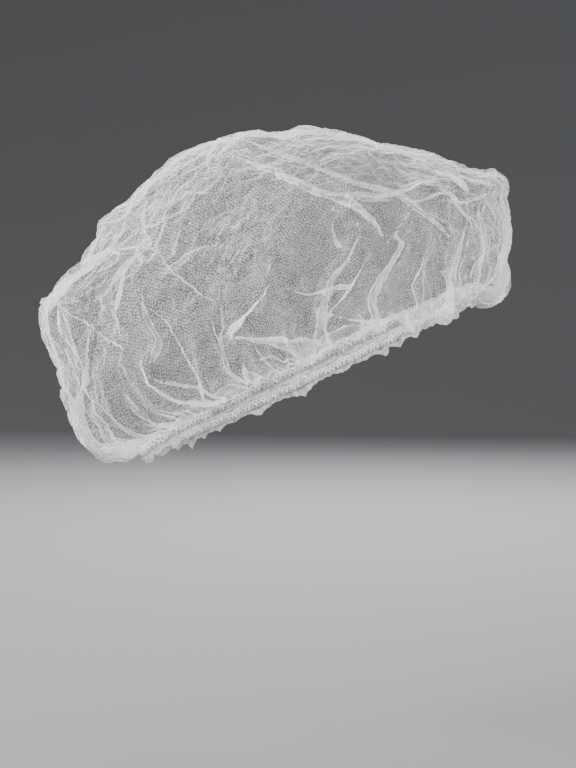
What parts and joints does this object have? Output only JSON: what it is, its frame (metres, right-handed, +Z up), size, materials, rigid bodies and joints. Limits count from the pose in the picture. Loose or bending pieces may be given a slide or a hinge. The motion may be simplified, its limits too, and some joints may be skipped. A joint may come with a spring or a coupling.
{
  "type": "disposable hair cover cap",
  "caption": "Gathered cap of sheer non-woven cloth with an elastic in its hem, in its worn form, for covering the hair.",
  "frame": {"origin": "centre of the elastic's loop, which is the opening that a head goes into", "axes": "+Z up as worn, the front of the cap faces -Y, the wearer's left is +X"},
  "size_m": [0.2148, 0.2606, 0.1788],
  "materials": {
    "nonwoven_cloth": "sheer thermally bonded non-woven cloth, matt white",
    "elastic_rubber": "matt white covered elastic"
  },
  "bodies": {
    "root": {"crown": "nonwoven_cloth", "elastic_band": "elastic_rubber"}
  },
  "joints": []
}
